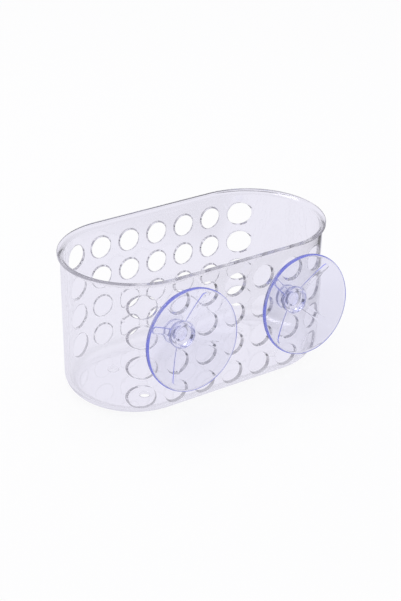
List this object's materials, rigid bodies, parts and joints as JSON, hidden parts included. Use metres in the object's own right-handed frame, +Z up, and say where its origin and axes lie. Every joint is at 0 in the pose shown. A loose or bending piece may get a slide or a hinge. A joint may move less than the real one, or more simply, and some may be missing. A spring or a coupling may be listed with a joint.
{
  "type": "suction cup bathroom shelf",
  "caption": "Clear round-ended basket with rows of holes and a rolled rim, hung on a wall by soft suction cups that swivel in its holes.",
  "frame": {"origin": "middle of the basket's flat underside", "axes": "+X along the basket's length, +Y towards the wall that the suction cups hold on to, +Z up"},
  "size_m": [0.171, 0.1056, 0.0874],
  "materials": {
    "clear_styrene": "clear moulded plastic, polished, with a faint lavender cast",
    "clear_vinyl": "clear soft vinyl, glossy, blue where it is seen edge on"
  },
  "bodies": {
    "basket": {"basket": "clear_styrene"},
    "cup_left": {"suction_cup_left": "clear_vinyl"},
    "cup_right": {"suction_cup_right": "clear_vinyl"}
  },
  "joints": [
    {"name": "cup_left_swivel", "type": "hinge", "parent": "basket", "child": "cup_left", "pos_m": [-0.03934, 0.04084, 0.05234], "axis": [0, 0.9903, 0.1392], "continuous": true},
    {"name": "cup_right_swivel", "type": "hinge", "parent": "basket", "child": "cup_right", "pos_m": [0.03934, 0.04084, 0.05234], "axis": [0, 0.9903, 0.1392], "continuous": true}
  ]
}
